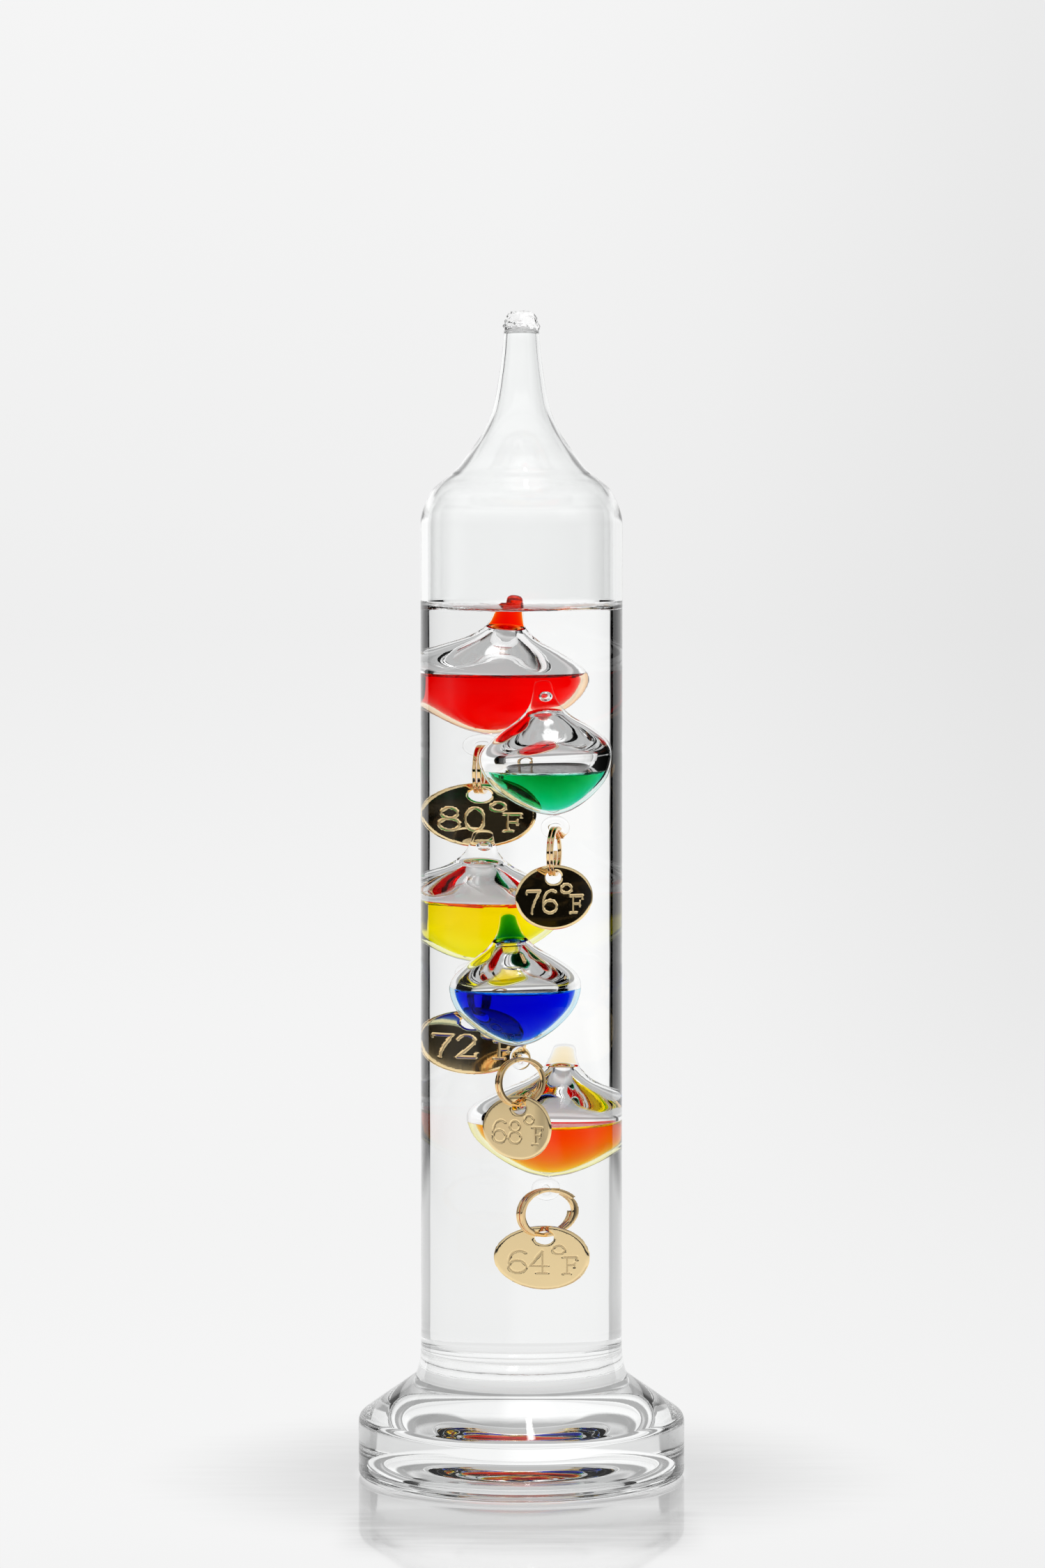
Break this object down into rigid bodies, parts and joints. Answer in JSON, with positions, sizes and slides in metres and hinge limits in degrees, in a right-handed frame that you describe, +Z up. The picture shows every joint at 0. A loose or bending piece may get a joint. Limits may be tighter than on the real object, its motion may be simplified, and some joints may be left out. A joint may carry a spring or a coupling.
{
  "type": "galileo thermometer",
  "caption": "Sealed glass column on a flared glass foot; dyed glass floats with gold temperature tags hang inside and sink as the liquid warms.",
  "frame": {"origin": "centre of the foot's underside", "axes": "+Z up along the column; -Y towards the side the tags face; +X to the right seen from that side"},
  "size_m": [0.078, 0.078, 0.2775],
  "materials": {
    "column_glass": "clear blown glass",
    "foot_glass": "clear pressed glass",
    "clear_bond": "clear cured adhesive",
    "float_glass": "thin clear blown glass",
    "gold_ring": "polished gold plating",
    "gold_tag": "mirror gold plating with stamped numerals",
    "red_dye": "clear dyed liquid",
    "green_dye": "clear dyed liquid",
    "yellow_dye": "clear dyed liquid",
    "blue_dye": "clear dyed liquid",
    "orange_dye": "clear dyed liquid"
  },
  "bodies": {
    "root": {"glass_column": "column_glass", "tip_seal": "column_glass", "glass_foot": "foot_glass", "bond_layer": "clear_bond"},
    "red_float": {"red_float_shell": "float_glass", "red_float_dye": "red_dye", "red_stem_seal": "float_glass", "red_float_eye": "float_glass"},
    "red_ring": {"red_split_ring": "gold_ring"},
    "red_tag": {"red_tag": "gold_tag"},
    "green_float": {"green_float_shell": "float_glass", "green_float_dye": "green_dye", "green_stem_seal": "float_glass", "green_float_eye": "float_glass"},
    "green_ring": {"green_split_ring": "gold_ring"},
    "green_tag": {"green_tag": "gold_tag"},
    "yellow_float": {"yellow_float_shell": "float_glass", "yellow_float_dye": "yellow_dye", "yellow_stem_seal": "float_glass", "yellow_float_eye": "float_glass"},
    "yellow_ring": {"yellow_split_ring": "gold_ring"},
    "yellow_tag": {"yellow_tag": "gold_tag"},
    "blue_float": {"blue_float_shell": "float_glass", "blue_float_dye": "blue_dye", "blue_stem_seal": "float_glass", "blue_float_eye": "float_glass"},
    "blue_ring": {"blue_split_ring": "gold_ring"},
    "blue_tag": {"blue_tag": "gold_tag"},
    "orange_float": {"orange_float_shell": "float_glass", "orange_float_dye": "orange_dye", "orange_stem_seal": "float_glass", "orange_float_eye": "float_glass"},
    "orange_ring": {"orange_split_ring": "gold_ring"},
    "orange_tag": {"orange_tag": "gold_tag"}
  },
  "joints": [
    {"name": "red_float_sink", "type": "slide", "parent": "root", "child": "red_float", "axis": [0, 0, 1], "range_m": [-0.0145, 0]},
    {"name": "red_ring_swing", "type": "hinge", "parent": "red_float", "child": "red_ring", "pos_m": [-0.00526, 0.00973, 0.174], "axis": [0.2588, 0.9659, 0], "range_deg": [-18, 9]},
    {"name": "red_tag_swing", "type": "hinge", "parent": "red_ring", "child": "red_tag", "pos_m": [-0.00562, 0.00982, 0.1632], "axis": [0.2588, 0.9659, 0], "range_deg": [-30, 18]},
    {"name": "green_float_sink", "type": "slide", "parent": "root", "child": "green_float", "axis": [0, 0, 1], "range_m": [-0.0145, 0]},
    {"name": "green_ring_swing", "type": "hinge", "parent": "green_float", "child": "green_ring", "pos_m": [0.00621, -0.0057, 0.15524], "axis": [0.0698, 0.9976, 0], "range_deg": [-16, 1.5]},
    {"name": "green_tag_swing", "type": "hinge", "parent": "green_ring", "child": "green_tag", "pos_m": [0.00583, -0.00567, 0.14444], "axis": [0.0698, 0.9976, 0], "range_deg": [-18, 3]},
    {"name": "yellow_float_sink", "type": "slide", "parent": "root", "child": "yellow_float", "axis": [0, 0, 1], "range_m": [-0.0145, 0]},
    {"name": "yellow_ring_swing", "type": "hinge", "parent": "yellow_float", "child": "yellow_ring", "pos_m": [-0.00658, 0.00831, 0.11976], "axis": [0.3746, 0.9272, 0], "range_deg": [-9, 8]},
    {"name": "yellow_tag_swing", "type": "hinge", "parent": "yellow_ring", "child": "yellow_tag", "pos_m": [-0.00692, 0.00845, 0.10896], "axis": [0.3746, 0.9272, 0], "range_deg": [-30, 16]},
    {"name": "blue_float_sink", "type": "slide", "parent": "root", "child": "blue_float", "axis": [0, 0, 1], "range_m": [-0.0145, 0]},
    {"name": "blue_ring_swing", "type": "hinge", "parent": "blue_float", "child": "blue_ring", "pos_m": [-0.00019, -0.00812, 0.10084], "axis": [0.7771, 0.6293, 0], "range_deg": [-18, 9]},
    {"name": "blue_tag_swing", "type": "hinge", "parent": "blue_ring", "child": "blue_tag", "pos_m": [-0.00043, -0.00783, 0.09004], "axis": [0.7771, 0.6293, 0], "range_deg": [-25, 14]},
    {"name": "orange_float_sink", "type": "slide", "parent": "root", "child": "orange_float", "axis": [0, 0, 1], "range_m": [-0.0145, 0]},
    {"name": "orange_ring_swing", "type": "hinge", "parent": "orange_float", "child": "orange_ring", "pos_m": [0.00365, 0.0062, 0.06845], "axis": [0.6691, 0.7431, 0], "range_deg": [-22, 18]},
    {"name": "orange_tag_swing", "type": "hinge", "parent": "orange_ring", "child": "orange_tag", "pos_m": [0.00337, 0.00645, 0.05765], "axis": [0.6691, 0.7431, 0], "range_deg": [-30, 25]}
  ],
  "couplings": [
    {"joint": "red_float_sink", "follows": "orange_float_sink", "ratio": 1},
    {"joint": "green_float_sink", "follows": "orange_float_sink", "ratio": 1},
    {"joint": "yellow_float_sink", "follows": "orange_float_sink", "ratio": 1},
    {"joint": "blue_float_sink", "follows": "orange_float_sink", "ratio": 1}
  ]
}
